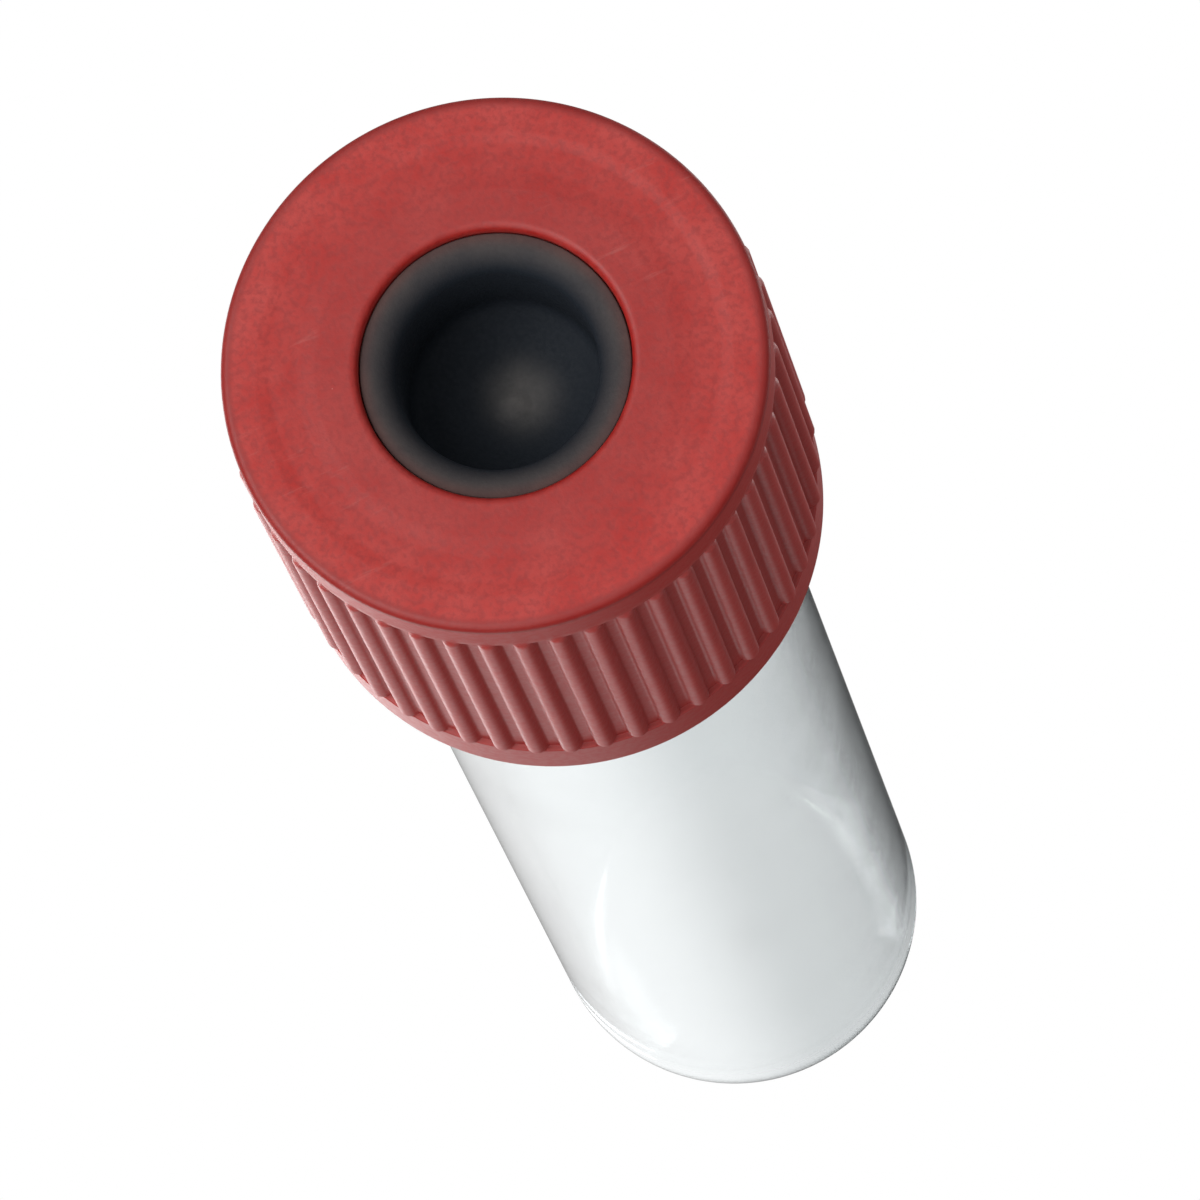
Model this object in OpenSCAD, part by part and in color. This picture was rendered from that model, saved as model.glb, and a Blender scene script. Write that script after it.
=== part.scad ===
// A capped blood collection tube: a clear, round-bottomed tube, its rubber stopper, and
// the ribbed safety cap that carries the stopper and comes off with it.
//
// Each piece is drawn upright on the Z axis, with the tube's lip at height 0 and the cap
// above it. The whole is then stood on its head, the one way it stands by itself: the flat
// top of the cap lies on the bench, at z = 0, and the tube's round end points up.

/* [Tube] */
// Outside diameter of the tube
tube_d = 13; // [12:0.5:16]
// Length of the tube from its lip to the tip of its round end
tube_len = 75; // [60:1:100]
// Thickness of the tube's wall
tube_wall = 1; // [0.8:0.05:1.2]
// Rounding of the lip's two edges
lip_round = 0.25; // [0.1:0.05:0.35]

/* [Cap] */
// Gap between the tube and the cap's skirt
skirt_gap = 0.85; // [0.6:0.05:1.2]
// Thickness of the cap's side wall at its smooth bands
side_wall = 1.05; // [0.9:0.05:1.4]
// Thickness of the cap's top plate
plate_t = 1.2; // [1:0.1:1.8]
// Diameter of the needle hole in the top plate
needle_hole_d = 8.4; // [7:0.1:9]
// How far the skirt reaches over the tube from its lip
skirt_drop = 10.5; // [8:0.5:14]
// Rounding of the cap's top edge
top_round = 0.25; // [0.15:0.05:0.5]
// Rounding of the needle hole's lip
hole_round = 0.25; // [0.1:0.05:0.4]
// Rounding of the skirt's two bottom edges
rim_round = 0.3; // [0.1:0.05:0.4]
// Height of the bead that holds the stopper's flange
bead_h = 0.8; // [0.6:0.1:1.2]

/* [Grip] */
// Number of ribs round the cap
rib_count = 48; // [40:4:56]
// Radius of a rib's round crest
rib_r = 0.35; // [0.28:0.01:0.4]
// How far the ribs stand out from the cap's smooth bands
rib_stand = 0.12; // [0.08:0.01:0.2]
// How far the wall between the ribs lies inside the smooth bands
grip_depth = 0.2; // [0.1:0.01:0.3]
// Height of the smooth band above the ribs
top_band = 1.7; // [1:0.1:4]
// Height of the plain rim below the ribs
rim_band = 2.2; // [1:0.1:4]

/* [Stopper] */
// Height of the neck between the tube's lip and the flange
neck_h = 2; // [1.6:0.1:3]
// How far the neck stands back from the tube's outside
neck_step = 0.2; // [0.1:0.05:0.4]
// Thickness of the flange that the cap holds
flange_t = 4.8; // [4.6:0.1:6]
// How far the collar in the needle hole lies below the cap's top
collar_drop = 0.35; // [0.2:0.05:0.6]
// Diameter of the needle well
well_d = 6.2; // [5:0.1:7]
// Rounding of the well's mouth
well_round = 0.85; // [0.5:0.05:0.95]
// Depth of the well from the collar's top to the edge of its floor
well_depth = 4.05; // [3.2:0.05:4.2]
// Depth of the dish in the well's floor
dish_depth = 1; // [0.6:0.05:1.2]
// Diameter of the small nub in the middle of the well's floor
nub_d = 1.1; // [0.6:0.1:1.6]
// Height of that nub
nub_h = 0.12; // [0.08:0.01:0.2]
// Thickness of the rubber that the needle pierces
septum_t = 4; // [3:0.1:4.5]
// Length of the plug below the tube's lip
plug_len = 8; // [7:0.5:10]
// Thickness of the plug's wall round its recess
plug_wall = 2; // [1.6:0.1:2.4]
// Height of each of the plug's sealing rings
ring_h = 1.3; // [0.8:0.1:1.6]
// How far the sealing rings stand out from the plug
ring_stand = 0.25; // [0.1:0.05:0.3]
// Distance from the lip to the first sealing ring, and from the second to the plug's end
ring_inset = 1.1; // [0.8:0.1:1.5]
// Rounding of the plug's end
plug_round = 0.5; // [0.3:0.1:0.7]

/* [Fits] */
// Radial clearance of the sealing rings in the tube's bore
plug_clear = 0.03; // [0.02:0.005:0.05]
// Radial clearance of the stopper's flange inside the cap
flange_clear = 0.05; // [0.02:0.01:0.08]
// Radial clearance of the stopper's collar in the needle hole
collar_clear = 0.1; // [0.05:0.01:0.15]
// Radial clearance of the cap's bead round the stopper's neck
neck_clear = 0.3; // [0.1:0.05:0.4]

/* [Hidden] */

// facets of a full turn of the large and the small round shapes
turn_facets = 128;
round_facets = 48;

// how far a cut runs out past the face that it opens
overrun = 0.2;

// least flat width left on the collar beside the rounding of the well's mouth
collar_land = 0.1;

// radii from the axis outwards
tube_r = tube_d / 2;
bore_r = tube_r - tube_wall;
ring_r = bore_r - plug_clear;
plug_r = ring_r - ring_stand;
recess_r = plug_r - plug_wall;
well_r = well_d / 2;
hole_r = needle_hole_d / 2;
collar_r = hole_r - collar_clear;
neck_r = tube_r - neck_step;
bead_r = neck_r + neck_clear;
skirt_r = tube_r + skirt_gap;
flange_r = skirt_r - flange_clear;
band_r = skirt_r + side_wall;
grip_r = band_r - grip_depth;
crest_r = band_r + rib_stand;
rib_axis_r = crest_r - rib_r;

// heights above the tube's lip
end_z = tube_r - tube_len;
skirt_z = -skirt_drop;
flange_z = neck_h;
seat_z = flange_z + flange_t;
top_z = seat_z + plate_t;
collar_z = top_z - collar_drop;
floor_z = collar_z - well_depth;
dish_z = floor_z - dish_depth;
crown_z = dish_z - septum_t;
rib_top_z = top_z - top_band;
rib_foot_z = skirt_z + rim_band;

// the rounding of the well's mouth, as far as the collar has room for it
mouth_r = min(well_round, collar_r - well_r - collar_land);

// the dish is part of a ball that meets the well's wall at the edge of the floor
dish_r = (well_r * well_r + dish_depth * dish_depth) / (2 * dish_depth);

// the bead's lower side is a cone that guides the flange in
bead_lead = skirt_r - bead_r;

// the ribs start half a pitch off the X axis
half_pitch = 180 / rib_count;

// stands an upright piece on its head, with the top of the cap on the bench
module stood_on_head() {
    translate([0, 0, top_z]) rotate([180, 0, 0]) children();
}

// turns a profile, drawn as radius and height, about the axis
module turned(facets = turn_facets) {
    rotate_extrude($fn = facets) children();
}

// an upright rectangle of a profile, from its lower inner corner to its upper outer one
module block(from, to) {
    translate(from) square(to - from);
}

// what rounding off a corner takes away: `into` points from the corner into the material
module corner_waste(corner, r, into) {
    out = -overrun * into;
    far = r * into;
    translate(corner) difference() {
        polygon([out, [far.x, out.y], far, [out.x, far.y]]);
        translate(far) circle(r, $fn = round_facets);
    }
}

// profile of a rod whose lower end is half a ball: z is the ball's centre
module round_end(r, z, length) {
    intersection() {
        union() {
            block([0, z], [r, z + length]);
            translate([0, z]) circle(r, $fn = turn_facets);
        }
        block([0, z - r], [r, z + length]);
    }
}

// the clear tube: a straight wall and a round end, with a rounded lip
module tube() {
    color([0.82, 0.88, 0.92, 0.4]) stood_on_head() turned() difference() {
        round_end(tube_r, end_z, -end_z);
        round_end(bore_r, end_z, overrun - end_z);
        corner_waste([tube_r, 0], lip_round, [-1, -1]);
        corner_waste([bore_r, 0], lip_round, [1, -1]);
    }
}

// one sealing ring of the plug, with bevelled edges, from height z up
module sealing_ring(z) {
    polygon([
        [plug_r - ring_stand, z], [plug_r, z], [ring_r, z + ring_stand],
        [ring_r, z + ring_h - ring_stand], [plug_r, z + ring_h],
        [plug_r - ring_stand, z + ring_h]
    ]);
}

// the well that guides the needle: rounded mouth, straight wall and dished floor
module needle_well() {
    block([0, floor_z], [well_r, collar_z + overrun]);
    intersection() {
        translate([0, dish_z + dish_r]) circle(dish_r, $fn = turn_facets);
        block([0, dish_z], [well_r, floor_z]);
    }
    corner_waste([well_r, collar_z], mouth_r, [1, -1]);
}

// the rubber stopper: collar, flange and neck above the lip, and the plug with its rings below
module stopper() {
    color([0.2, 0.2, 0.2]) stood_on_head() turned() {
        difference() {
            union() {
                block([0, seat_z], [collar_r, collar_z]);
                block([0, flange_z], [flange_r, seat_z]);
                block([0, 0], [neck_r, flange_z]);
                block([0, -plug_len], [plug_r, 0]);
                sealing_ring(-ring_inset - ring_h);
                sealing_ring(ring_inset - plug_len);
            }
            needle_well();
            mirror([0, 1]) round_end(recess_r, recess_r - crown_z, plug_len + overrun);
            corner_waste([plug_r, -plug_len], plug_round, [-1, 1]);
        }
        block([0, dish_z - nub_h], [nub_d / 2, dish_z + nub_h]);
    }
}

// the cap without its ribs: top plate, side wall, retaining bead and plain rim
module cap_shell() {
    turned() difference() {
        union() {
            difference() {
                block([hole_r, skirt_z], [band_r, top_z]);
                block([0, skirt_z - overrun], [skirt_r, seat_z]);
            }
            polygon([
                [bead_r, flange_z], [bead_r, flange_z - bead_h],
                [skirt_r, flange_z - bead_h - bead_lead], [skirt_r + side_wall / 2, flange_z]
            ]);
        }
        // the sunk wall ends inside the ribs' round ends, which run on to the bands
        block([grip_r, rib_foot_z + rib_r / 2], [band_r + overrun, rib_top_z - rib_r / 2]);
        corner_waste([band_r, top_z], top_round, [-1, -1]);
        corner_waste([hole_r, top_z], hole_round, [1, -1]);
        corner_waste([band_r, skirt_z], rim_round, [-1, 1]);
        corner_waste([skirt_r, skirt_z], rim_round, [1, 1]);
    }
}

// one round-ended rib of the grip
module rib() {
    length = rib_top_z - rib_foot_z - 2 * rib_r;
    translate([rib_axis_r, 0, rib_foot_z + rib_r]) turned(round_facets) {
        round_end(rib_r, 0, length);
        translate([0, length]) mirror([0, 1]) round_end(rib_r, 0, length);
    }
}

// the ribbed safety cap
module cap() {
    color([0.7, 0.26, 0.24]) stood_on_head() {
        cap_shell();
        for (i = [0 : rib_count - 1])
            rotate([0, 0, half_pitch * (2 * i + 1)]) rib();
    }
}

tube();
stopper();
cap();
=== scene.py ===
"""Fine forms and finishes of a capped blood collection tube that stands on its head.

The tube has three pieces, all turned about the Z axis: the ribbed safety cap, the rubber
stopper in it and the clear round-ended tube. The flat top of the cap lies on the bench at
height 0 and the tube's round end points up. Sizes are in millimetres, heights are taken
from the bench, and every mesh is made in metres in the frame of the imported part.
"""

import logging
import math
from abc import ABC, abstractmethod
from collections.abc import Iterable, Sequence
from dataclasses import dataclass, field
from enum import Enum

import bmesh
import bpy
from bpy.types import Material, Mesh, Node, NodeOutputs, NodeSocket, NodeTree, Object, World
from mathutils import Matrix, Vector


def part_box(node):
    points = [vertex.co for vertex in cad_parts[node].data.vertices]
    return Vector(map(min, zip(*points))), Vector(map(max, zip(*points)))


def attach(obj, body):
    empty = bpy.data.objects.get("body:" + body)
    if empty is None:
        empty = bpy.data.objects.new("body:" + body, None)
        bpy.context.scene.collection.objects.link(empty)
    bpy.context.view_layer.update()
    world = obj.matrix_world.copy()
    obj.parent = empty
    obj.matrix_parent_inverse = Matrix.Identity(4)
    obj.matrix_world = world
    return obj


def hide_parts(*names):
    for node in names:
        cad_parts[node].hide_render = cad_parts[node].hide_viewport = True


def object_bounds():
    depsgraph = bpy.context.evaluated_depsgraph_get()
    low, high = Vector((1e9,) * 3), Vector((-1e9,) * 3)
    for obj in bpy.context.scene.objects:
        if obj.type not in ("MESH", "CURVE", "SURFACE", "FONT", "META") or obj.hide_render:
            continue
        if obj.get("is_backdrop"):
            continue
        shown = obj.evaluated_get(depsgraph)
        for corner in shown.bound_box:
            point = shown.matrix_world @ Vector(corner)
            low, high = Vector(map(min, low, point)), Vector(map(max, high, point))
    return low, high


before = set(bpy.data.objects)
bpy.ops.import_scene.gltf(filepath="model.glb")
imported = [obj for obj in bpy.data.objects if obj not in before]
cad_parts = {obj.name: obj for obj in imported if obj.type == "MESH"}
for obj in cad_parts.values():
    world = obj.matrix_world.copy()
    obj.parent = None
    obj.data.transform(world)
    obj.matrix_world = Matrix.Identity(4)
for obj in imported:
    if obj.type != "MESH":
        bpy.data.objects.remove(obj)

MM = 0.001
FULL_TURN = 2 * math.pi

# a point whose radius is smaller than this, in millimetres, lies on the axis
ON_AXIS = 1e-6
# a ball's end is a corner whose rounding falls short of the ball's radius by this
BALL_SLACK = 0.01
# the levels between which most of a noise's values lie
NOISE_SPAN = (0.3, 0.7)

# ways to give a node's input: another node's output, a number, or a colour or vector
Source = NodeSocket | float | Sequence[float]
Colour = tuple[float, float, float]
# where a change starts and where it ends
Span = tuple[float, float]

log = logging.getLogger("blood_collection_tube")


class Body(Enum):
    """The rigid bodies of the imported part."""

    CLOSURE = "closure"
    TUBE = "tube"


class Slot(Enum):
    """The record's material slots."""

    RED = "red_plastic"
    RUBBER = "stopper_rubber"
    CLEAR = "clear_plastic"


# ------------------------ turned sections


@dataclass(frozen=True)
class Corner:
    """A corner of a turned piece's section.

    Args:
        radius: Distance from the axis.
        height: Height above the bench.
        rounding: Radius of the corner's rounding; 0 marks a row on a straight stretch.
    """

    radius: float
    height: float
    rounding: float = 0.05


@dataclass(frozen=True)
class Extent:
    """The room that one of the part's solids takes: its radius and its two ends."""

    radius: float
    low: float
    high: float

    @classmethod
    def of(cls, node: str) -> "Extent":
        """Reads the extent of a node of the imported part, with its radius taken along X."""
        low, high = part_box(node)
        return cls(high.x / MM, low.z / MM, high.z / MM)


class Section:
    """A closed section that a piece is turned from."""

    # rows that hold a flat stretch flat stand this far from the roundings at its ends
    HOLD = 0.06
    SHORTEST_HELD = 4 * HOLD
    LONGEST_ROW = 2.5
    # an arc's steps are no longer than this length, nor than this share of its radius
    LONGEST_ARC_STEP = 0.2
    ARC_STEP_SHARE = 0.2
    FEWEST_ARC_STEPS = 3

    def __init__(self, corners: Iterable[Corner]) -> None:
        """Takes the corners in order round the section; the last is joined to the first."""
        self.corners = list(corners)

    def points(self) -> list[Vector]:
        """Rounds every corner and divides the long stretches.

        Returns:
            The section's points, in order round it.
        """
        arcs = [self._arc(i) for i in range(len(self.corners))]
        points: list[Vector] = []
        for arc, following in zip(arcs, arcs[1:] + arcs[:1]):
            points += arc
            points += self._stretch(arc[-1], following[0])
        return points

    def _arc(self, index: int) -> list[Vector]:
        """Rounds one corner.

        Args:
            index: The corner's place in the section.

        Returns:
            The points of its arc, or the corner itself where it has no rounding.
        """
        corner = self.corners[index]
        here = Vector((corner.radius, corner.height))
        if corner.rounding == 0:
            return [here]
        before, after = (
            Vector((c.radius, c.height)) - here
            for c in (self.corners[index - 1], self.corners[(index + 1) % len(self.corners)])
        )
        before.normalize()
        after.normalize()
        half_angle = before.angle(after) / 2
        centre = here + (before + after).normalized() * corner.rounding / math.sin(half_angle)
        tangent = corner.rounding / math.tan(half_angle)
        start, end = here + before * tangent - centre, here + after * tangent - centre
        sweep = math.pi - 2 * half_angle
        step = min(self.LONGEST_ARC_STEP, self.ARC_STEP_SHARE * corner.rounding)
        count = max(self.FEWEST_ARC_STEPS, math.ceil(sweep * corner.rounding / step))
        return [
            centre
            + (start * math.sin(sweep * (1 - k / count)) + end * math.sin(sweep * k / count))
            / math.sin(sweep)
            for k in range(count + 1)
        ]

    def _stretch(self, start: Vector, end: Vector) -> list[Vector]:
        """Divides the straight stretch between two arcs.

        Args:
            start: The last point of one arc.
            end: The first point of the next.

        Returns:
            The points between them, both left out.
        """
        length = (end - start).length
        if length < self.SHORTEST_HELD:
            return []
        inner = length - 2 * self.HOLD
        count = max(1, math.ceil(inner / self.LONGEST_ROW))
        return [start.lerp(end, (self.HOLD + inner * k / count) / length) for k in range(count + 1)]


def turned_mesh(name: str, points: Sequence[Vector], angles: Sequence[float]) -> Mesh:
    """Turns a closed section about the Z axis.

    Args:
        name: The mesh's name.
        points: The section's points as radius and height, in millimetres.
        angles: The angles of the columns in radians, in rising order.

    Returns:
        A closed, smoothly shaded mesh in metres whose faces point outwards.
    """
    shape = bmesh.new()
    rings: list[list[bmesh.types.BMVert]] = []
    for radius, height in points:
        if radius < ON_AXIS:
            rings.append([shape.verts.new((0, 0, height * MM))])
            continue
        rings.append([
            shape.verts.new((radius * math.cos(a) * MM, radius * math.sin(a) * MM, height * MM))
            for a in angles
        ])
    count = len(angles)
    for ring, following in zip(rings, rings[1:] + rings[:1]):
        if len(ring) == len(following) == 1:
            continue
        for i in range(count):
            j = (i + 1) % count
            corners = [ring[i % len(ring)], ring[j % len(ring)]]
            corners += [following[j % len(following)], following[i % len(following)]]
            # a corner on the axis comes twice, and a face takes it once
            shape.faces.new(dict.fromkeys(corners))
    bmesh.ops.recalc_face_normals(shape, faces=shape.faces)
    mesh = bpy.data.meshes.new(name)
    shape.to_mesh(mesh)
    shape.free()
    mesh.shade_smooth()
    return mesh


# ------------------------ node trees


class Sheet:
    """Adds nodes to a tree and joins them, so that a formula reads as one."""

    # where a Mix node has its factor and its two colours, and where the mixed one
    MIX_INPUTS = (0, 6, 7)
    MIX_OUTPUT = 2

    def __init__(self, tree: NodeTree) -> None:
        """Takes the tree that the nodes go into."""
        self.tree = tree

    @classmethod
    def cleared(cls, owner: Material | World) -> "Sheet":
        """Returns a sheet on the emptied tree of a material or a world."""
        owner.use_nodes = True
        owner.node_tree.nodes.clear()
        return cls(owner.node_tree)

    def add(self, kind: str, **settings: object) -> Node:
        """Adds a node.

        Args:
            kind: The node's type name.
            **settings: Properties to set on it.

        Returns:
            The node.
        """
        node = self.tree.nodes.new(kind)
        for name, value in settings.items():
            setattr(node, name, value)
        return node

    def give(self, socket: NodeSocket, source: Source) -> None:
        """Links an input to another node's output, or sets its value.

        Args:
            socket: The input.
            source: An output, a number, a colour or a vector.
        """
        if isinstance(source, NodeSocket):
            self.tree.links.new(source, socket)
        elif socket.type == "RGBA" and len(source) == 3:
            socket.default_value = (*source, 1)
        else:
            socket.default_value = source

    def give_all(self, sockets: Iterable[NodeSocket], *sources: Source) -> None:
        """Gives each of some inputs its source, in order."""
        for socket, source in zip(sockets, sources):
            self.give(socket, source)

    def fill(self, node: Node, **sources: Source) -> Node:
        """Fills a node's inputs by name, with underscores for the spaces in them.

        Args:
            node: The node.
            **sources: What goes into each input.

        Returns:
            The same node.
        """
        for name, source in sources.items():
            self.give(node.inputs[name.replace("_", " ")], source)
        return node

    def math(self, operation: str, *terms: Source) -> NodeSocket:
        """Takes one arithmetic step.

        Args:
            operation: The step, as the Math node names it.
            *terms: Its inputs in order.

        Returns:
            Its result.
        """
        node = self.add("ShaderNodeMath", operation=operation)
        self.give_all(node.inputs, *terms)
        return node.outputs[0]

    def product(self, first: Source, *others: Source) -> Source:
        """Returns the product of two or more numbers."""
        for other in others:
            first = self.math("MULTIPLY", first, other)
        return first

    def hypotenuse(self, x: Source, y: Source) -> NodeSocket:
        """Returns the length of a vector with these two parts."""
        return self.math("SQRT", self.math("ADD", self.product(x, x), self.product(y, y)))

    def ramp(self, value: Source, start: Source, end: Source, low: Source = 0, high: Source = 1,
             smooth: bool = True) -> NodeSocket:
        """Takes a value from one level to another between two points.

        Args:
            value: What is measured.
            start: Where the change starts.
            end: Where it ends.
            low: The level before it.
            high: The level after it.
            smooth: Whether the change eases in and out.

        Returns:
            The level.
        """
        kind = "SMOOTHSTEP" if smooth else "LINEAR"
        node = self.add("ShaderNodeMapRange", interpolation_type=kind)
        self.fill(node, Value=value, From_Min=start, From_Max=end, To_Min=low, To_Max=high)
        return node.outputs["Result"]

    def between(self, share: Source, low: Source, high: Source) -> NodeSocket:
        """Returns the number that lies at a share of the way from one number to another."""
        return self.ramp(share, 0, 1, low, high, smooth=False)

    def blend(self, share: Source, first: Source, second: Source) -> NodeSocket:
        """Mixes two colours, or two shaders.

        Args:
            share: How much of the second there is.
            first: The colour or shader at share 0.
            second: The colour or shader at share 1.

        Returns:
            The mix.
        """
        if getattr(first, "type", None) == "SHADER":
            node = self.add("ShaderNodeMixShader")
            self.give_all(node.inputs, share, first, second)
            return node.outputs["Shader"]
        node = self.add("ShaderNodeMix", data_type="RGBA")
        self.give_all((node.inputs[i] for i in self.MIX_INPUTS), share, first, second)
        return node.outputs[self.MIX_OUTPUT]

    def point(self) -> NodeSocket:
        """Returns where a point of the piece lies, in millimetres."""
        scaled = self.add("ShaderNodeVectorMath", operation="SCALE")
        self.fill(scaled, Vector=self.add("ShaderNodeTexCoord").outputs["Object"], Scale=1 / MM)
        return scaled.outputs["Vector"]

    def noise(self, point: Source, scale: Source, detail: float, roughness: float) -> NodeSocket:
        """Returns the level of a noise with this many waves to a millimetre."""
        node = self.fill(self.add("ShaderNodeTexNoise"), Vector=point, Scale=scale,
                         Detail=detail, Roughness=roughness)
        return node.outputs["Fac"]

    def bump(self, height: Source, depth: float) -> NodeSocket:
        """Returns the normals of a relief that is this many millimetres deep."""
        node = self.fill(self.add("ShaderNodeBump"), Height=height, Strength=1.0,
                         Distance=depth * MM)
        return node.outputs["Normal"]


@dataclass(frozen=True)
class Place:
    """Where a point of a piece lies, in millimetres: as a vector, and as radius and height."""

    point: NodeSocket
    radius: NodeSocket
    height: NodeSocket

    @classmethod
    def on(cls, sheet: Sheet) -> "Place":
        """Adds the nodes that find the place.

        Args:
            sheet: The material's sheet.

        Returns:
            The outputs that hold it.
        """
        point = sheet.point()
        x, y, height = sheet.fill(sheet.add("ShaderNodeSeparateXYZ"), Vector=point).outputs
        return cls(point, sheet.hypotenuse(x, y), height)


class SurfaceGroups:
    """Effects that more than one finish uses, each a node group that is built once."""

    # which share of the cells holds no speck
    BARE_CELLS = 0.72
    # noise levels between which a streak, and a patch that has streaks, comes in
    STREAK_SPAN = (0.58, 0.74)
    PATCH_SPAN = (0.5, 0.68)

    def __init__(self) -> None:
        """Builds the groups."""
        self.grain = self._grain()
        self.dust = self._dust()

    @staticmethod
    def _group(name: str, inputs: Sequence[str],
               outputs: Sequence[str]) -> tuple[Sheet, NodeOutputs, Node]:
        """Starts a group whose inputs and outputs are all numbers.

        Args:
            name: The group's name.
            inputs: The inputs' names.
            outputs: The outputs' names.

        Returns:
            Its sheet, what it is given, and the node that takes its results.
        """
        tree = bpy.data.node_groups.new(name, "ShaderNodeTree")
        for way, labels in (("INPUT", inputs), ("OUTPUT", outputs)):
            for label in labels:
                tree.interface.new_socket(name=label, in_out=way, socket_type="NodeSocketFloat")
        sheet = Sheet(tree)
        return sheet, sheet.add("NodeGroupInput").outputs, sheet.add("NodeGroupOutput")

    @classmethod
    def _grain(cls) -> NodeTree:
        """Makes the group for what a mould leaves: slow mottling and a fine grain.

        Returns:
            The group.
        """
        sheet, given, result = cls._group(
            "moulded_grain", ("Mottles per mm", "Grains per mm"), ("Mottle", "Grain"))
        point = sheet.point()
        mottle = sheet.noise(point, given["Mottles per mm"], detail=4, roughness=0.68)
        grain = sheet.noise(point, given["Grains per mm"], detail=2, roughness=0.6)
        sheet.fill(result, Mottle=mottle, Grain=grain)
        return sheet.tree

    @classmethod
    def _dust(cls) -> NodeTree:
        """Makes the group for handling: specks of dust and faint smeared scuffs.

        Returns:
            The group.
        """
        sheet, given, result = cls._group(
            "dust_and_scuffs", ("Specks per mm", "Speck radius"), ("Specks", "Scuffs"))
        point = sheet.point()
        cells = sheet.fill(sheet.add("ShaderNodeTexVoronoi"), Vector=point,
                           Scale=given["Specks per mm"])
        reach = sheet.product(given["Speck radius"], given["Specks per mm"])
        near = sheet.math("LESS_THAN", cells.outputs["Distance"], reach)
        chance = sheet.fill(sheet.add("ShaderNodeSeparateColor"), Color=cells.outputs["Color"])
        rare = sheet.math("GREATER_THAN", chance.outputs[0], cls.BARE_CELLS)
        drawn_out = sheet.fill(sheet.add("ShaderNodeMapping"), Vector=point,
                               Rotation=(0.2, 0.1, 0.7), Scale=(0.35, 3.2, 1))
        streaks = sheet.noise(drawn_out.outputs[0], 1.1, detail=4, roughness=0.7)
        patches = sheet.noise(point, 0.22, detail=1, roughness=0.5)
        scuffs = sheet.product(sheet.ramp(streaks, *cls.STREAK_SPAN),
                               sheet.ramp(patches, *cls.PATCH_SPAN))
        sheet.fill(result, Specks=sheet.product(near, rare), Scuffs=scuffs)
        return sheet.tree

    @staticmethod
    def use(sheet: Sheet, group: NodeTree, **values: float) -> NodeOutputs:
        """Places a group in a material with these values, and returns its results."""
        return sheet.fill(sheet.add("ShaderNodeGroup", node_tree=group), **values).outputs


# ------------------------ finishes


class Finish(ABC):
    """What a piece is made of: one Principled shader, and for a clear piece its depths."""

    NAME: str

    @abstractmethod
    def surface(self, sheet: Sheet, groups: SurfaceGroups) -> dict[str, Source]:
        """Makes the finish's pattern.

        Args:
            sheet: The material's sheet.
            groups: The shared surface effects.

        Returns:
            What goes into the shader's inputs.
        """

    def depths(self, sheet: Sheet) -> dict[str, Source]:
        """Returns what fills the piece, as an input of the output; most finishes are opaque."""
        return {}

    def material(self, groups: SurfaceGroups) -> Material:
        """Builds the material.

        Args:
            groups: The shared surface effects.

        Returns:
            The material.
        """
        material = bpy.data.materials.new(self.NAME)
        sheet = Sheet.cleared(material)
        shader = sheet.add("ShaderNodeBsdfPrincipled")
        sheet.fill(shader, **self.surface(sheet, groups))
        sheet.fill(sheet.add("ShaderNodeOutputMaterial"), Surface=shader.outputs["BSDF"],
                   **self.depths(sheet))
        return material


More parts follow.
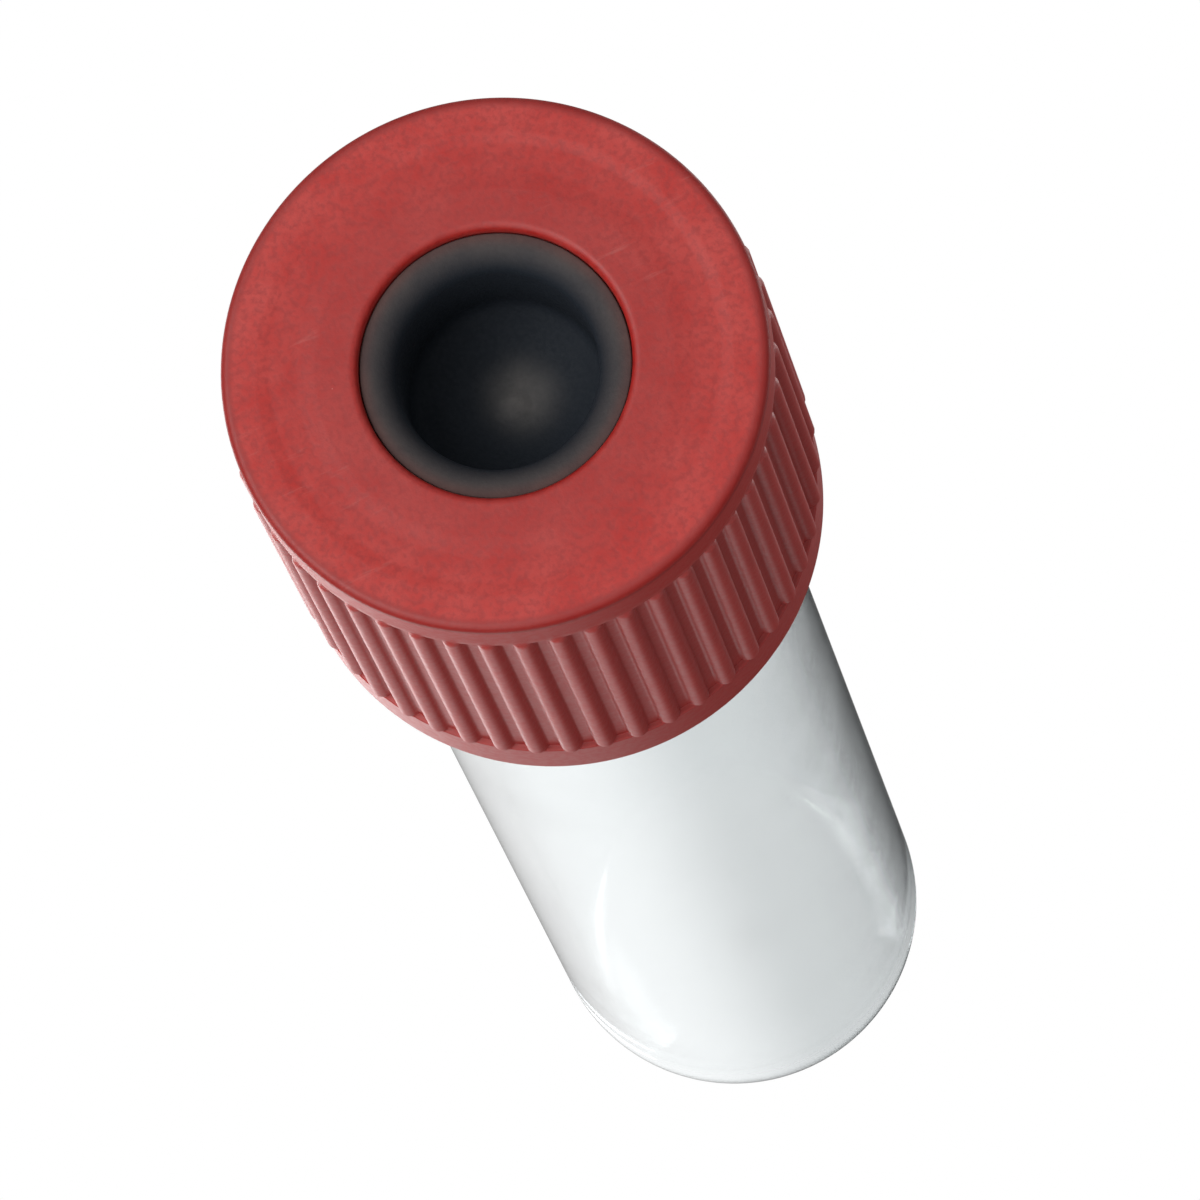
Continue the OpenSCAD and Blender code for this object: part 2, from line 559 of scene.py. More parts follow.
@dataclass(frozen=True)
class RedPlastic(Finish):
    """The cap's moulded plastic: a fine-grained matt top and smooth sides, whose paler, pinker
    colour is a painted sheen.

    The top is darker towards its hole, and its rounded edge is darkened with a painted shade.
    Heights and radii in millimetres say where each change starts and ends, and shares how strong it
    is.
    """

    NAME = "cap_red_plastic"

    # paler and pinker than the top: a painted sheen for the white room that the glossy sides mirror
    side: Colour = (0.4, 0.033, 0.028)
    body: Colour = (0.45, 0.0155, 0.01)
    deep: Colour = (0.28, 0.0095, 0.008)
    pale: Colour = (0.505, 0.046, 0.037)
    # painted shade for the top's rounded edge
    edge: Colour = (0.2, 0.006, 0.005)
    dust: Colour = (0.68, 0.42, 0.38)
    top_heights: Span = (0.3, 0.1)
    inner_radii: Span = (7.9, 4.3)
    inner_share: float = 0.5
    edge_shade_radii: Span = (7.95, 8.2)
    edge_shade_heights: Span = (0.5, 0.25)
    edge_shade_share: float = 0.6
    mottle_span: Span = (0.38, 0.63)
    grain_span: Span = (0.62, 0.3)
    grain_share: float = 0.6
    grain_share_on_side: float = 0.25
    speck_share: float = 0.5
    scuff_share: float = 0.1
    crest_span: Span = (0.8, 1.0)
    crest_share: float = 0.3
    rough_heights: Span = (1.8, 1.4)
    side_roughness: float = 0.48
    top_roughness: float = 0.5
    grain_roughness: Span = (-0.04, 0.06)
    band_start: Span = (0.01, 0.12)
    band_end: Span = (1.8, 1.5)
    gloss: float = 0.5
    band_gloss: float = 0.24
    grain_depth: float = 0.008
    depth_share_on_side: float = 0.08

    def surface(self, sheet: Sheet, groups: SurfaceGroups) -> dict[str, Source]:
        """Makes the grained top, the plain sides with their painted sheen and the abraded crests.
        See the base class.
        """
        place = Place.on(sheet)
        grain = groups.use(sheet, groups.grain, Mottles_per_mm=0.33, Grains_per_mm=4.5)
        dust = groups.use(sheet, groups.dust, Specks_per_mm=0.6, Speck_radius=0.05)
        on_top = sheet.ramp(place.height, *self.top_heights)
        inner = sheet.ramp(place.radius, *self.inner_radii)
        mottle = sheet.ramp(grain["Mottle"], *self.mottle_span, smooth=False)
        colour = sheet.blend(mottle, self.body, self.pale)
        # the sides take the painted sheen colour
        colour = sheet.blend(on_top, self.side, colour)
        colour = sheet.blend(sheet.product(inner, on_top, self.inner_share), colour, self.deep)
        # painted shade along the top's rounded edge
        edge = sheet.product(sheet.ramp(place.radius, *self.edge_shade_radii),
                             sheet.ramp(place.height, *self.edge_shade_heights, 0, self.edge_shade_share))
        colour = sheet.blend(edge, colour, self.edge)
        grainy = sheet.product(sheet.ramp(grain["Grain"], *self.grain_span, 0, self.grain_share),
                               sheet.between(on_top, self.grain_share_on_side, 1))
        colour = sheet.blend(grainy, colour, self.deep)
        soiled = sheet.math("MAXIMUM", sheet.product(dust["Specks"], self.speck_share),
                            sheet.product(dust["Scuffs"], self.scuff_share))
        colour = sheet.blend(sheet.product(soiled, on_top), colour, self.dust)
        relief = sheet.add("ShaderNodeAttribute", attribute_name=RibTree.RELIEF).outputs["Fac"]
        crest = sheet.ramp(relief, *self.crest_span, 0, self.crest_share)
        colour = sheet.blend(sheet.product(crest, mottle), colour, self.pale)
        rough = sheet.ramp(place.height, *self.rough_heights,
                           self.side_roughness, self.top_roughness)
        rough = sheet.math("ADD", rough,
                           sheet.ramp(grain["Grain"], *NOISE_SPAN, *self.grain_roughness))
        band = sheet.product(sheet.ramp(place.height, *self.band_start),
                             sheet.ramp(place.height, *self.band_end))
        raised = sheet.product(grain["Grain"], sheet.between(on_top, self.depth_share_on_side, 1))
        return dict(
            Base_Color=colour, Roughness=rough, Normal=sheet.bump(raised, self.grain_depth),
            IOR=1.5, Specular_IOR_Level=sheet.between(band, self.gloss, self.band_gloss),
            Subsurface_Weight=0.12, Subsurface_Radius=(1, 0.12, 0.08), Subsurface_Scale=0.7 * MM,
        )


@dataclass(frozen=True)
class StopperRubber(Finish):
    """The stopper's dark rubber, with painted light on its mouth and a painted glint in its well.

    Heights, radii and the painted glint's place are in millimetres.
    """

    NAME = "stopper_dark_rubber"

    # the rubber's own dark grey, made darker still as painted shade for the deep needle well
    body: Colour = (0.015, 0.019, 0.0255)
    # painted light where the mouth's bevel catches the lamps, warmer towards the outer rim beside
    # the red cap
    lit_mouth: Colour = (0.083, 0.069, 0.065)
    warm_lit_rim: Colour = (0.1, 0.058, 0.053)
    # painted glint: the lamps' highlight in the dished well floor, a little off its centre
    glint: Colour = (0.15, 0.14, 0.134)
    lit_mouth_heights: Span = (3, 2)
    lit_mouth_radii: Span = (3.15, 4.0)
    warm_lit_rim_radii: Span = (3.65, 4.1)
    mottle_shares: Span = (0.7, 1)
    glint_spot: tuple[float, float, float] = (-0.34, 0.13, 5.3)
    glint_radius: float = 2.1
    roughness: Span = (0.6, 0.76)
    grain_depth: float = 0.012

    def surface(self, sheet: Sheet, groups: SurfaceGroups) -> dict[str, Source]:
        """Makes the painted light on the mouth, the painted glint and the grain. See the base
        class.
        """
        place = Place.on(sheet)
        grain = groups.use(sheet, groups.grain, Mottles_per_mm=0.8, Grains_per_mm=7.5)
        # painted light on the mouth, fading by height and radius into the painted shade of the well
        exposed = sheet.product(sheet.ramp(place.height, *self.lit_mouth_heights),
                                sheet.ramp(place.radius, *self.lit_mouth_radii, smooth=False))
        mottle = sheet.ramp(grain["Mottle"], *NOISE_SPAN, *self.mottle_shares)
        lit_mouth = sheet.blend(sheet.ramp(place.radius, *self.warm_lit_rim_radii), self.lit_mouth, self.warm_lit_rim)
        colour = sheet.blend(sheet.product(exposed, mottle), self.body, lit_mouth)
        # painted glint on the well floor
        away = sheet.add("ShaderNodeVectorMath", operation="DISTANCE")
        sheet.give_all(away.inputs, place.point, self.glint_spot)
        near = sheet.ramp(away.outputs["Value"], self.glint_radius, 0)
        # squared, so that the spot fades slowly at its rim
        colour = sheet.blend(sheet.product(sheet.product(near, near), mottle), colour, self.glint)
        rough = sheet.ramp(grain["Grain"], *NOISE_SPAN, *self.roughness)
        return dict(
            Base_Color=colour, Roughness=rough,
            Normal=sheet.bump(grain["Grain"], self.grain_depth), IOR=1.5, Specular_IOR_Level=0.15,
        )


@dataclass(frozen=True)
class ClearPlastic(Finish):
    """The tube's clear plastic, with a faint cool tint and the slow waves of moulding."""

    NAME = "tube_clear_plastic"

    tint: Colour = (0.975, 0.985, 0.985)
    depth_colour: Colour = (0.62, 0.8, 0.86)
    depth_density: float = 65.0
    roughness: Span = (0.021, 0.049)
    smear_roughness: float = 0.09
    wave_depth: float = 0.0015

    def surface(self, sheet: Sheet, groups: SurfaceGroups) -> dict[str, Source]:
        """Makes the waves and the smears. See the base class."""
        waves = groups.use(sheet, groups.grain, Mottles_per_mm=0.16)["Mottle"]
        smears = sheet.product(groups.use(sheet, groups.dust)["Scuffs"], self.smear_roughness)
        rough = sheet.math("ADD", smears, sheet.ramp(waves, *NOISE_SPAN, *self.roughness))
        return dict(
            Base_Color=self.tint, Roughness=rough, Normal=sheet.bump(waves, self.wave_depth),
            IOR=1.52, Transmission_Weight=1.0,
        )

    def depths(self, sheet: Sheet) -> dict[str, Source]:
        """Makes the faint colour that light takes on its way. See the base class."""
        absorbed = sheet.fill(sheet.add("ShaderNodeVolumeAbsorption"), Color=self.depth_colour,
                              Density=self.depth_density)
        return {"Volume": absorbed.outputs[0]}


# ------------------------ the grip's ribs


@dataclass(frozen=True)
class Ribs:
    """The grip's ribs: half-sunk rods with round ends, evenly spaced round the cap.

    Args:
        count: How many there are.
        radius: Radius of a rod.
        stand: How far the crests stand out from the smooth wall.
        sink: How deep the wall is sunk between the ribs.
        blend: Reach of the soft blend between a rib and the wall.
        edge: Half the width of the slope at each end of the sunk wall.
    """

    # columns beside a rib's crest, as shares of its radius
    COLUMN_SHARES = (0.375, 0.69, 0.9, 0.99, 1.2)
    # rows over a rib's round end, in degrees round it
    END_ANGLES = range(0, 91, 12)
    # rows over the slope at an end of the sunk wall, as shares of its half width
    EDGE_SHARES = (-1.2, -0.4, 0.4, 1.2)
    # how far outside the ribs the first row stands
    LEAD = 0.03
    # how many stretches the rows divide the ribs' length into
    STRETCHES = 6

    count: int = 48
    radius: float = 0.35
    stand: float = 0.12
    sink: float = 0.2
    blend: float = 0.06
    edge: float = 0.03

    def axis_radius(self, wall: float) -> float:
        """Returns how far a rib's own axis lies from the cap's, given the smooth wall's radius."""
        return wall + self.stand - self.radius

    def columns(self, wall: float) -> list[float]:
        """Places the cap's columns, close together where a rib's side is steep.

        Args:
            wall: The smooth wall's radius.

        Returns:
            The columns' angles in radians.
        """
        pitch = FULL_TURN / self.count
        offsets = [share * self.radius / self.axis_radius(wall) for share in self.COLUMN_SHARES]
        offsets = [-o for o in reversed(offsets)] + [0.0] + offsets
        return [pitch * i + o for i in range(self.count)
                for o in [0.0] + [pitch / 2 + offset for offset in offsets]]

    def rows(self, low: float, high: float) -> list[float]:
        """Places the wall's rows, close together at the ribs' round ends.

        Args:
            low: Where the ribs start.
            high: Where they end.

        Returns:
            The rows' heights.
        """
        ends = [self.radius * (1 - math.cos(math.radians(a))) for a in self.END_ANGLES]
        steps = [self.radius / 2 + self.edge * share for share in self.EDGE_SHARES]
        near = sorted([-self.LEAD, *ends, *steps])
        middle = [low + (high - low) * k / self.STRETCHES for k in range(1, self.STRETCHES)]
        return [low + n for n in near] + middle + [high - n for n in reversed(near)]


class RibTree:
    """Geometry Nodes that raise round-ended ribs on a turned wall.

    The wall's points move outwards or inwards by a rule: between the ribs the wall is sunk,
    and each rib is the outer side of a rod with ball ends, blended softly into the wall.
    """

    NAME = "raise_ribs"
    # the attribute that says how high a point lies, from 0 in a valley to 1 on a crest
    RELIEF = "relief"
    # a point this little inside the wall, in metres, still lies on it
    WALL_SLACK = 0.01 * MM
    LENGTHS = ("Wall Radius", "Axis Radius", "Rib Radius", "Sink", "Low End", "High End",
               "Blend", "Edge")

    def __init__(self) -> None:
        """Builds the tree."""
        self.tree = bpy.data.node_groups.new(self.NAME, "GeometryNodeTree")
        self.sheet = Sheet(self.tree)
        sockets = [("Geometry", "NodeSocketGeometry"), ("Ribs", "NodeSocketInt")]
        sockets += [(name, "NodeSocketFloat") for name in self.LENGTHS]
        sockets += [("Material", "NodeSocketMaterial")]
        for name, kind in sockets:
            self.tree.interface.new_socket(name=name, in_out="INPUT", socket_type=kind)
        self.tree.interface.new_socket(
            name="Geometry", in_out="OUTPUT", socket_type="NodeSocketGeometry")
        self.given = self.sheet.add("NodeGroupInput").outputs
        self._build()

    def _wall(self, height: NodeSocket) -> NodeSocket:
        """Finds the wall between the ribs.

        Args:
            height: The point's height.

        Returns:
            The wall's radius there.
        """
        sheet, given = self.sheet, self.given
        inset = sheet.math("DIVIDE", given["Rib Radius"], 2.0)
        above = sheet.math("SUBTRACT", height, sheet.math("ADD", given["Low End"], inset))
        below = sheet.math("SUBTRACT", sheet.math("SUBTRACT", given["High End"], inset), height)
        inside = sheet.math("MINIMUM", above, below)
        sunk = sheet.ramp(inside, sheet.product(given["Edge"], -1.0), given["Edge"])
        return sheet.math("SUBTRACT", given["Wall Radius"], sheet.product(given["Sink"], sunk))

    def _rib(self, angle: NodeSocket, height: NodeSocket) -> NodeSocket:
        """Finds the outer side of the nearest rib.

        Args:
            angle: The point's angle round the cap.
            height: Its height.

        Returns:
            The rib's radius there, taken from the cap's axis.
        """
        sheet, given = self.sheet, self.given
        ribs, radius, axis = given["Ribs"], given["Rib Radius"], given["Axis Radius"]
        pitches = sheet.math("DIVIDE", sheet.product(angle, ribs), FULL_TURN)
        share = sheet.math("SUBTRACT", sheet.math("FRACT", pitches), 0.5)
        turn = sheet.math("DIVIDE", sheet.product(share, FULL_TURN), ribs)
        side = sheet.product(axis, sheet.math("SINE", turn))
        ahead = sheet.product(axis, sheet.math("COSINE", turn))
        first = sheet.math("ADD", given["Low End"], radius)
        last = sheet.math("SUBTRACT", given["High End"], radius)
        under = sheet.math("SUBTRACT", first, height)
        over = sheet.math("SUBTRACT", height, last)
        past = sheet.math("MAXIMUM", sheet.math("MAXIMUM", under, over), 0.0)
        room = sheet.product(radius, radius)
        for missing in (past, side):
            room = sheet.math("SUBTRACT", room, sheet.product(missing, missing))
        # outside the rod the root is taken with its sign, so that the wall wins there
        rise = sheet.product(sheet.math("SIGN", room),
                             sheet.math("SQRT", sheet.math("ABSOLUTE", room)))
        return sheet.math("ADD", ahead, rise)

    def _build(self) -> None:
        """Joins the rule to the wall's points."""
        sheet, given = self.sheet, self.given
        split = sheet.add("ShaderNodeSeparateXYZ")
        sheet.fill(split, Vector=sheet.add("GeometryNodeInputPosition").outputs[0])
        x, y, height = split.outputs
        angle = sheet.math("ARCTAN2", y, x)
        after = sheet.math("SMOOTH_MAX", self._wall(height), self._rib(angle, height),
                           given["Blend"])
        moved = sheet.add("ShaderNodeCombineXYZ")
        sheet.fill(moved, X=sheet.product(after, sheet.math("COSINE", angle)),
                   Y=sheet.product(after, sheet.math("SINE", angle)), Z=height)
        inside = sheet.math("SUBTRACT", given["Wall Radius"], sheet.hypotenuse(x, y))
        on_wall = sheet.math("LESS_THAN", inside, self.WALL_SLACK)
        crest = sheet.math("ADD", given["Axis Radius"], given["Rib Radius"])
        valley = sheet.math("SUBTRACT", given["Wall Radius"], given["Sink"])
        relief = sheet.ramp(after, valley, crest, smooth=False)
        store = sheet.add("GeometryNodeStoreNamedAttribute", data_type="FLOAT", domain="POINT")
        sheet.fill(store, Geometry=given["Geometry"], Name=self.RELIEF,
                   Value=sheet.product(relief, on_wall))
        place = sheet.fill(sheet.add("GeometryNodeSetPosition"), Geometry=store.outputs[0],
                           Selection=on_wall, Position=moved.outputs[0])
        real = sheet.fill(sheet.add("GeometryNodeRealizeInstances"), Geometry=place.outputs[0])
        dressed = sheet.fill(sheet.add("GeometryNodeSetMaterial"), Geometry=real.outputs[0],
                             Material=given["Material"])
        sheet.fill(sheet.add("NodeGroupOutput"), Geometry=dressed.outputs[0])

    def run_on(self, piece: Object, values: dict[str, object]) -> None:
        """Raises the ribs on a piece and leaves it a plain mesh.

        Args:
            piece: The turned piece.
            values: The tree's inputs by name, lengths in metres.
        """
        modifier = piece.modifiers.new(self.NAME, "NODES")
        modifier.node_group = self.tree
        for item in self.tree.interface.items_tree:
            if item.in_out == "INPUT" and item.name in values:
                modifier[item.identifier] = values[item.name]
        bpy.context.view_layer.update()
        evaluated = piece.evaluated_get(bpy.context.evaluated_depsgraph_get())
        ribbed = bpy.data.meshes.new_from_object(evaluated)
        piece.modifiers.remove(modifier)
        plain, piece.data = piece.data, ribbed
        name = plain.name
        bpy.data.meshes.remove(plain)
        ribbed.name = name


# ------------------------ the pieces


@dataclass
class Piece(ABC):
    """A finished piece of the tube, which stands for one of the part's solids."""

    # how many columns a piece has, unless it places its own
    COLUMNS = 160

    name: str
    node: str
    body: Body
    slot: Slot
    solid: Extent = field(init=False)

    def __post_init__(self) -> None:
        """Reads the room that the piece's solid takes."""
        self.solid = Extent.of(self.node)

    @abstractmethod
    def section(self) -> Section:
        """Draws the piece.

        Returns:
            The section that it is turned from.
        """

    def angles(self) -> list[float]:
        """Returns the angles of the piece's columns in radians, evenly spaced."""
        return [FULL_TURN * i / self.COLUMNS for i in range(self.COLUMNS)]

    def refine(self, made: Object, finish: Material) -> None:
        """Adds to the turned piece what isn't turned; most pieces have nothing of the kind.

        Args:
            made: The turned piece.
            finish: Its finish.
        """

    def build(self, finish: Material) -> None:
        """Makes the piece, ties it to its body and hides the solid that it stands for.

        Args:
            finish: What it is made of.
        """
        mesh = turned_mesh(self.name, self.section().points(), self.angles())
        mesh.materials.append(finish)
        made = bpy.data.objects.new(mesh.name, mesh)
        bpy.context.scene.collection.objects.link(made)
        self.refine(made, finish)
        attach(made, self.body.value)
        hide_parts(self.node)
        triangles = sum(len(p.vertices) - 2 for p in made.data.polygons)
        log.info("%s: %d triangles", made.name, triangles)


@dataclass
class SafetyCap(Piece):
    """The red safety cap: a pierced top plate and a ribbed skirt with a retaining bead."""

    name: str = "safety_cap"
    node: str = "cap"
    body: Body = Body.CLOSURE
    slot: Slot = Slot.RED
    wall_radius: float = 8.4
    skirt_radius: float = 7.35
    hole_radius: float = 4.2
    plate: float = 1.2
    bead_radius: float = 6.6
    bead_seat: float = 6.0
    bead_height: float = 0.8
    edge_rounding: float = 0.25
    hole_rounding: float = 0.25
    rim_rounding: float = 0.3
    top_band: float = 1.7
    rim_band: float = 2.2
    # depth of the moulded ring in the top, and the radii of its slopes' ends
    dip: float = 0.03
    dip_radii: tuple[float, float, float, float] = (5.5, 6.1, 6.9, 7.3)
    ribs: Ribs = field(default_factory=Ribs)

    def section(self) -> Section:
        """Draws the cap, with its outer wall still smooth. See the base class."""
        rim, wall, skirt = self.solid.high, self.wall_radius, self.skirt_radius
        lead = self.bead_seat + self.bead_height
        top = [Corner(self.hole_radius, 0, self.hole_rounding)]
        top += [Corner(radius, height, 0)
                for radius, height in zip(self.dip_radii, (0, self.dip, self.dip, 0))]
        top.append(Corner(wall, 0, self.edge_rounding))
        rows = self.ribs.rows(self.top_band, rim - self.rim_band)
        side = [Corner(wall, height, 0) for height in rows]
        foot = [Corner(wall, rim, self.rim_rounding), Corner(skirt, rim, self.rim_rounding)]
        inside = [Corner(skirt, lead + skirt - self.bead_radius), Corner(self.bead_radius, lead),
                  Corner(self.bead_radius, self.bead_seat), Corner(skirt, self.bead_seat),
                  Corner(skirt, self.plate), Corner(self.hole_radius, self.plate)]
        return Section(top + side + foot + inside)

    def angles(self) -> list[float]:
        """Places the cap's columns, which follow the ribs. See the base class."""
        return self.ribs.columns(self.wall_radius)

    def refine(self, made: Object, finish: Material) -> None:
        """Raises the ribs on the cap's wall. See the base class."""
        RibTree().run_on(made, {
            "Ribs": self.ribs.count,
            "Wall Radius": self.wall_radius * MM,
            "Axis Radius": self.ribs.axis_radius(self.wall_radius) * MM,
            "Rib Radius": self.ribs.radius * MM,
            "Sink": self.ribs.sink * MM,
            "Low End": self.top_band * MM,
            "High End": (self.solid.high - self.rim_band) * MM,
            "Blend": self.ribs.blend * MM,
            "Edge": self.ribs.edge * MM,
            "Material": finish,
        })


@dataclass
class RubberStopper(Piece):
    """The stopper: a collar and flange round the needle well, a neck and a ringed plug."""

    # the nub's rounded top: shares of its radius, and how far the points lie under its tip
    NUB_PROFILE = ((0, 0), (0.5, 0.01), (0.75, 0.035), (1, 0.085))
    # how far from the nub the dish starts, and how many rows it is divided into
    NUB_GAP = 0.12
    DISH_ROWS = 8
    # how far from the wall the dish ends, as a share of the rounding there
    DISH_INSET = 0.55

    name: str = "rubber_stopper"
    node: str = "stopper"
    body: Body = Body.CLOSURE
    slot: Slot = Slot.RUBBER
    flange_end: float = 6.0
    flange_rounding: float = 0.2
    neck_radius: float = 6.3
    lip: float = 8.0
    plug_radius: float = 5.22
    ring_radius: float = 5.47
    ring_height: float = 1.3
    ring_inset: float = 1.1
    ring_rounding: float = 0.2
    plug_rounding: float = 0.5
    collar_radius: float = 4.17
    collar_rounding: float = 0.06
    plate: float = 1.2
    well_radius: float = 3.1
    well_rounding: float = 0.85
    well_depth: float = 4.05
    dish_depth: float = 1.0
    floor_rounding: float = 0.5
    nub_radius: float = 0.55
    nub_height: float = 0.12
    recess_radius: float = 3.22
    recess_crown: float = 9.4
    recess_rounding: float = 0.3

    def well(self) -> list[Corner]:
        """Draws the needle well, from the middle of its floor to its mouth.

        Returns:
            Its corners.
        """
        floor = self.solid.low + self.well_depth
        bottom = floor + self.dish_depth
        ball = (self.well_radius**2 + self.dish_depth**2) / (2 * self.dish_depth)
        nub = bottom - self.nub_height
        corners = [Corner(share * self.nub_radius, nub + fall, 0)
                   for share, fall in self.NUB_PROFILE]
        start = self.nub_radius + self.NUB_GAP
        end = self.well_radius - self.DISH_INSET * self.floor_rounding
        for k in range(self.DISH_ROWS + 1):
            radius = start + (end - start) * k / self.DISH_ROWS
            height = bottom - ball + math.sqrt(ball**2 - radius**2)
            corners.append(Corner(radius, height, 0))
        return [*corners, Corner(self.well_radius, floor, self.floor_rounding),
                Corner(self.well_radius, self.solid.low, self.well_rounding)]

    def sealing_ring(self, start: float) -> list[Corner]:
        """Draws one sealing ring.

        Args:
            start: The height at which the ring starts.

        Returns:
            The ring's corners.
        """
        stand = self.ring_radius - self.plug_radius
        end = start + self.ring_height
        return [Corner(self.plug_radius, start),
                Corner(self.ring_radius, start + stand, self.ring_rounding),
                Corner(self.ring_radius, end - stand, self.ring_rounding),
                Corner(self.plug_radius, end)]

    def section(self) -> Section:
        """Draws the stopper. See the base class."""
        end = self.solid.high
        outside = [Corner(self.collar_radius, self.solid.low, self.collar_rounding),
                   Corner(self.collar_radius, self.plate),
                   Corner(self.solid.radius, self.plate, self.flange_rounding),
                   Corner(self.solid.radius, self.flange_end, self.flange_rounding),
                   Corner(self.neck_radius, self.flange_end),
                   Corner(self.neck_radius, self.lip), Corner(self.plug_radius, self.lip)]
        outside += self.sealing_ring(self.lip + self.ring_inset)
        outside += self.sealing_ring(end - self.ring_inset - self.ring_height)
        outside.append(Corner(self.plug_radius, end, self.plug_rounding))
        recess = [Corner(self.recess_radius, end, self.recess_rounding),
                  Corner(self.recess_radius, self.recess_crown, self.recess_radius - BALL_SLACK),
                  Corner(0, self.recess_crown, 0)]
        return Section(self.well() + outside + recess)


@dataclass
class ClearTube(Piece):
    """The clear tube: a straight wall, a round end and a rounded lip."""

    COLUMNS = 256

    name: str = "clear_tube"
    node: str = "tube"
    body: Body = Body.TUBE
    slot: Slot = Slot.CLEAR
    wall: float = 1.0
    lip_rounding: float = 0.25

    def section(self) -> Section:
        """Draws the tube. See the base class."""
        outer, lip, end = self.solid.radius, self.solid.low, self.solid.high
        inner, crown = outer - self.wall, end - self.wall
        return Section([
            Corner(outer, lip, self.lip_rounding), Corner(outer, end, outer - BALL_SLACK),
            Corner(0, end, 0), Corner(0, crown, 0),
            Corner(inner, crown, inner - BALL_SLACK), Corner(inner, lip, self.lip_rounding),
        ])


# ------------------------ the studio


@dataclass(frozen=True)
class Softbox:
    """A square studio light that points at the part.

    Args:
        name: The light's name.
        azimuth: The side it stands on, in degrees; 0 is the -Y side and 90 the +X side.
        elevation: Its angle above the bench, in degrees.
        level: The light that it adds on a surface that faces it, as a share of full white.
        distance: How far it stands from the part, in metres.
        side: The length of its side, in metres.
    """

    name: str
    azimuth: float
    elevation: float
    level: float
    distance: float = 0.6
    side: float = 0.4

    def build(self, target: Vector) -> None:
        """Makes the light.

        Args:
            target: The point that it faces.
        """
        data = bpy.data.lights.new(self.name, "AREA")
        data.shape = "SQUARE"
        data.size = self.side
        # with this power, a white matt surface that faces the lamp looks as bright as the level
        data.energy = self.level * (math.pi * self.distance) ** 2
        lamp = bpy.data.objects.new(self.name, data)
        azimuth, elevation = math.radians(self.azimuth), math.radians(self.elevation)
        back = Vector((math.sin(azimuth) * math.cos(elevation),
                       -math.cos(azimuth) * math.cos(elevation), math.sin(elevation)))
        lamp.location = target + back * self.distance
        lamp.rotation_euler = back.to_track_quat("Z", "Y").to_euler()
        lamp.visible_camera = False
        bpy.context.scene.collection.objects.link(lamp)
        log.info("light %s at level %.2f", self.name, self.level)


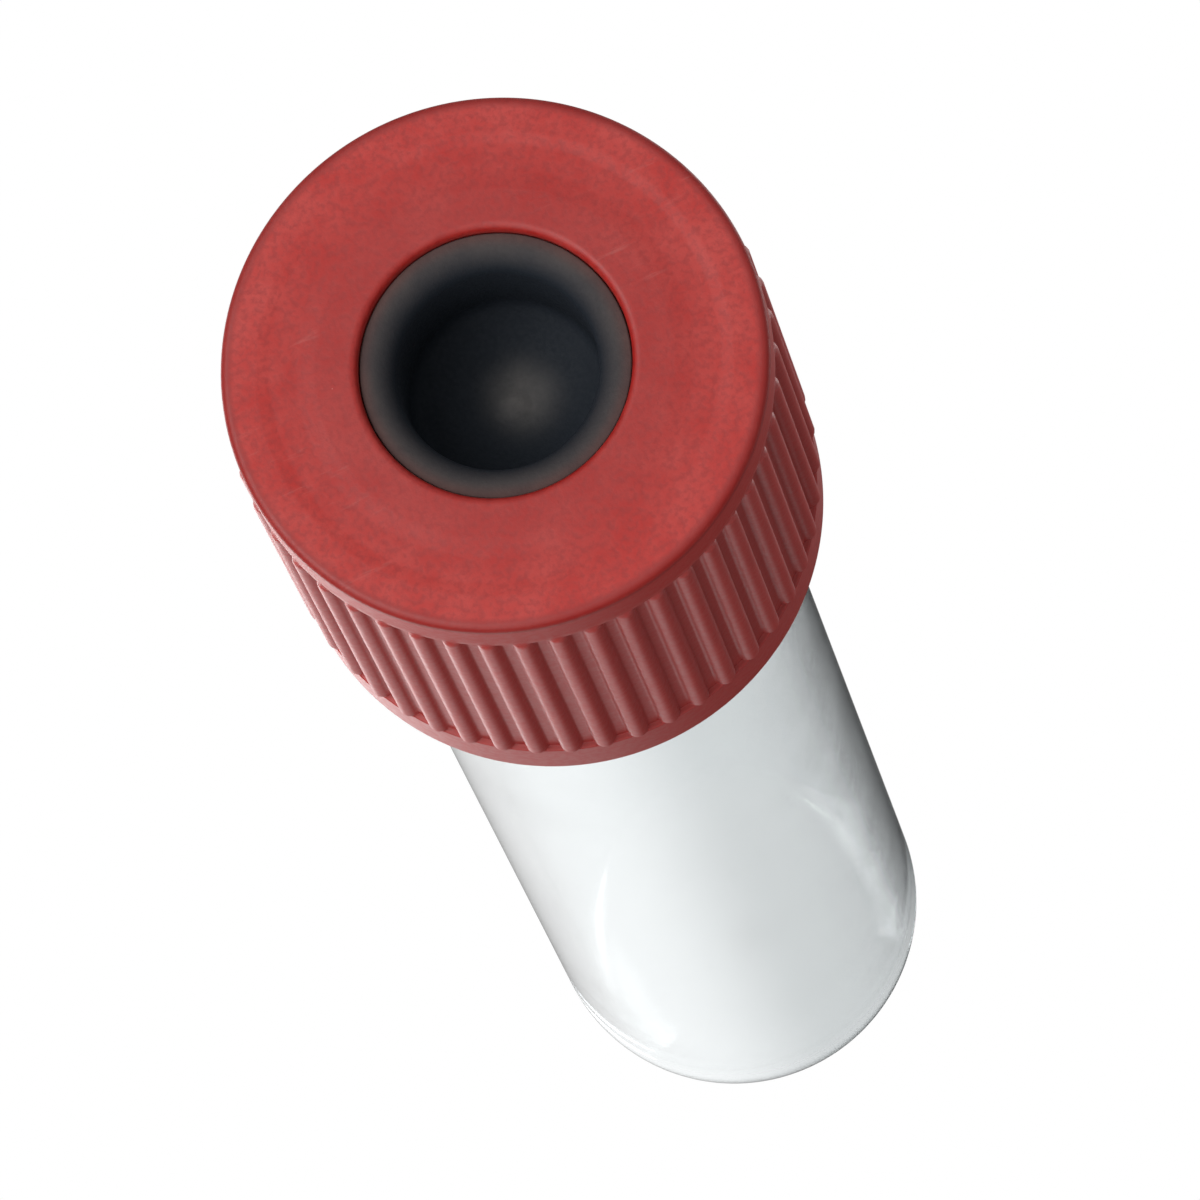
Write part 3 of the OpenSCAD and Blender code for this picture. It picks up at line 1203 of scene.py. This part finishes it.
@dataclass(frozen=True)
class Studio:
    """A white room with soft light from above and from below, and a pale bench.

    The part stands on its head, so its best side faces the bench. The bench is therefore
    seen only from above, and casts no light or shade of its own: from below the cap's top
    shows as it would from above if the part were the other way up.

    The glows are what a glossy surface mirrors: the room above and below it, the dusk level
    with it, and a dark card overhead on the -X side. Their spans are heights, and for the card
    distances along X, on a ball of radius 1. The bench turns into an even, brighter ground
    over the sweep's two radii. The bench's side is in metres, all else in millimetres.
    """

    ambient: float = 0.32
    room_glow: float = 0.8
    dusk_glow: float = 0.3
    card_glow: float = 0.03
    overhead_gain: float = 1.25
    dusk_heights: Span = (0.05, 0.6)
    overhead_heights: Span = (0.5, 0.8)
    card_sides: Span = (0.25, -0.1)
    bench_colour: Colour = (0.82, 0.82, 0.82)
    bench_side: float = 8.0
    bench_drop: float = 0.05
    sweep_radii: Span = (260.0, 1400.0)
    sweep_glow: Span = (0.72, 1)
    lights: tuple[Softbox, ...] = (
        Softbox("key_above", 110, 50, 0.55),
        Softbox("fill_above", -115, 35, 0.35),
        Softbox("key_below", 100, -62, 0.57),
        Softbox("front_below", 45, -35, 0.25),
    )

    def world(self) -> None:
        """Makes the white surroundings, dimmer as a light than as a sight."""
        world = bpy.data.worlds.new("white_room")
        bpy.context.scene.world = world
        sheet = Sheet.cleared(world)
        rays = sheet.add("ShaderNodeLightPath").outputs
        way = sheet.add("ShaderNodeSeparateXYZ")
        sheet.fill(way, Vector=sheet.add("ShaderNodeTexCoord").outputs["Generated"])
        across, _, up = way.outputs
        overhead = sheet.ramp(up, *self.overhead_heights)
        card = sheet.product(sheet.ramp(across, *self.card_sides), overhead)
        glow = sheet.ramp(sheet.math("ABSOLUTE", up), *self.dusk_heights,
                          self.dusk_glow, self.room_glow)
        glow = sheet.product(glow, sheet.ramp(overhead, 0, 1, 1, self.overhead_gain))
        mirrored = sheet.between(card, glow, self.card_glow)
        strength = sheet.between(rays["Is Glossy Ray"], self.ambient, mirrored)
        seen = sheet.math("MAXIMUM", rays["Is Camera Ray"], rays["Is Transmission Ray"])
        strength = sheet.between(seen, strength, 1)
        sky = sheet.fill(sheet.add("ShaderNodeBackground"), Color=(1, 1, 1), Strength=strength)
        sheet.fill(sheet.add("ShaderNodeOutputWorld"), Surface=sky.outputs[0])

    def bench(self) -> None:
        """Makes the bench top, which shows only from above, to the camera or through the tube."""
        half = self.bench_side / 2
        mesh = bpy.data.meshes.new("bench")
        corners = [(-half, -half), (half, -half), (half, half), (-half, half)]
        mesh.from_pydata([(x, y, -self.bench_drop * MM) for x, y in corners], [], [(0, 1, 2, 3)])
        material = bpy.data.materials.new("bench_pale")
        sheet = Sheet.cleared(material)
        rays = sheet.add("ShaderNodeLightPath").outputs
        looked_at = sheet.math("MAXIMUM", rays["Is Camera Ray"], rays["Is Transmission Ray"])
        behind = sheet.add("ShaderNodeNewGeometry").outputs["Backfacing"]
        shown = sheet.product(looked_at, sheet.math("SUBTRACT", 1.0, behind))
        clear = sheet.add("ShaderNodeBsdfTransparent").outputs[0]
        pale = sheet.fill(sheet.add("ShaderNodeBsdfDiffuse"), Color=self.bench_colour)
        far_off = Place.on(sheet).radius
        sweep = sheet.fill(sheet.add("ShaderNodeEmission"),
                           Strength=sheet.ramp(far_off, *self.sweep_radii, *self.sweep_glow))
        faded = sheet.blend(sheet.ramp(far_off, 0, self.sweep_radii[0]),
                            pale.outputs[0], sweep.outputs[0])
        sheet.fill(sheet.add("ShaderNodeOutputMaterial"), Surface=sheet.blend(shown, clear, faded))
        mesh.materials.append(material)
        top = bpy.data.objects.new("bench", mesh)
        bpy.context.scene.collection.objects.link(top)
        top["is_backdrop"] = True

    def build(self, target: Vector) -> None:
        """Makes the whole studio.

        Args:
            target: The point that the lights face.
        """
        self.world()
        self.bench()
        for light in self.lights:
            light.build(target)


@dataclass(frozen=True)
class Viewpoint:
    """A long-lens camera that looks at the cap's top from a little off the part's axis.

    Args:
        off_axis: The angle between the line of sight and the part's axis, in degrees.
        lean: How far the part's axis leans from the picture's upright, in degrees.
        aim: The height that it looks at, as a share of the part's.
        distance: From there to the camera, in metres.
        nearest: The least distance that it sees, in metres.
        width: Width of the picture at the part, in millimetres.
    """

    off_axis: float = 14.9
    lean: float = -24.0
    aim: float = 0.37
    distance: float = 0.45
    nearest: float = 0.01
    width: float = 39.0

    def build(self, far_end: float) -> None:
        """Makes the camera.

        Args:
            far_end: Height of the tube's round end above the bench, in metres.
        """
        angle = math.radians(self.off_axis)
        back = Vector((0, -math.sin(angle), -math.cos(angle)))
        # the part's axis as the camera sees it, which then leads down the picture
        along = Vector((0, 0, 1)) + back * math.cos(angle)
        up = -along.normalized()
        up.rotate(Matrix.Rotation(math.radians(self.lean), 3, back))
        right = up.cross(back)
        middle = Vector((0, 0, far_end * self.aim))
        camera = bpy.data.objects.new("camera", bpy.data.cameras.new("camera"))
        camera.data.lens = camera.data.sensor_width * self.distance / (self.width * MM)
        camera.data.clip_start = self.nearest
        turn = Matrix((right, up, back)).transposed()
        camera.matrix_world = Matrix.Translation(middle + back * self.distance) @ turn.to_4x4()
        bpy.context.scene.collection.objects.link(camera)
        bpy.context.scene.camera = camera


def as_lists(box: tuple[Vector, Vector]) -> list[list[float]]:
    """Returns a box's two corners as plain lists."""
    return [list(corner) for corner in box]


def main() -> None:
    """Builds the three pieces, the studio and the camera."""
    logging.basicConfig(level=logging.INFO, format="%(name)s: %(message)s")
    solid_box = as_lists(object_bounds())
    bpy.context.scene.view_settings.view_transform = "Standard"
    groups = SurfaceGroups()
    SafetyCap().build(RedPlastic().material(groups))
    RubberStopper().build(StopperRubber().material(groups))
    ClearTube().build(ClearPlastic().material(groups))
    far_end = solid_box[1][2]
    Studio().build(Vector((0, 0, far_end / 2)))
    Viewpoint().build(far_end)


if __name__ == "__main__":
    main()
